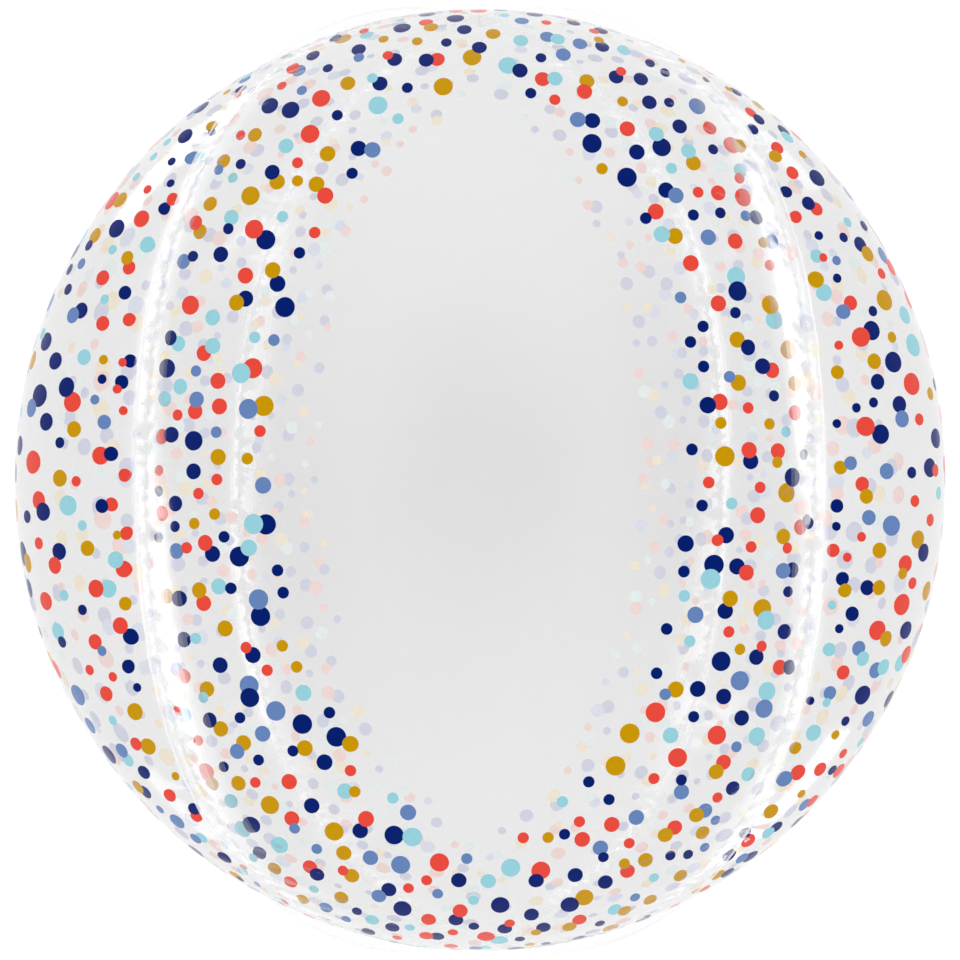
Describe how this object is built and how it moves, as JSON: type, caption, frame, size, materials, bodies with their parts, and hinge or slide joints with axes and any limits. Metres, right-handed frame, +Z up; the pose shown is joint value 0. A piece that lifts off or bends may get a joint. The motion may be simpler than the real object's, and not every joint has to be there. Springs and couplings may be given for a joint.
{
  "type": "confetti balloon",
  "caption": "Clear globe film balloon printed with scattered confetti dots, with heat-sealed seam fins and a flat filling tail, lying loose on its back panel.",
  "frame": {"origin": "centre of the flat spot under the globe, on the surface it lies on", "axes": "+Y from the globe's centre to the upper pole, with the filling tail at -Y; +Z up, out of the front panel; +X to the right of the front panel with +Y up the page"},
  "size_m": [0.38, 0.4365, 0.3769],
  "materials": {
    "clear_film": "clear polyester film, glossy, with confetti dots printed on it"
  },
  "bodies": {
    "root": {"balloon_envelope": "clear_film"}
  },
  "joints": []
}
